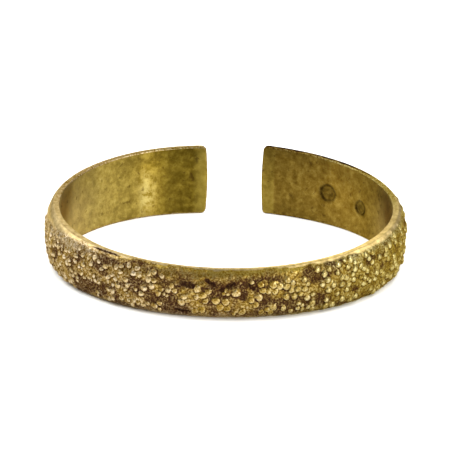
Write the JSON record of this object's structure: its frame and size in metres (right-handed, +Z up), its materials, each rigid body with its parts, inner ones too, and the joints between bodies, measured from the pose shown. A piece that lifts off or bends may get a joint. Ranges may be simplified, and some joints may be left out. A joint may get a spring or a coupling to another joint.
{
  "type": "open cuff bangle",
  "caption": "Open oval cuff bangle in patinated brass, domed outside with a granulated face, flat inside, widening towards its two ends.",
  "frame": {"origin": "centre of the inner oval, on the plane that the lower rim rests on", "axes": "+X along the oval's long axis, +Y towards the gap between the two ends, +Z up out of the upper rim"},
  "size_m": [0.0632, 0.0542, 0.0132],
  "materials": {
    "patinated_brass": "cast, worn bright on the rims and grain tops, brown oxide left in the recesses"
  },
  "bodies": {
    "root": {"cuff": "patinated_brass"}
  },
  "joints": []
}
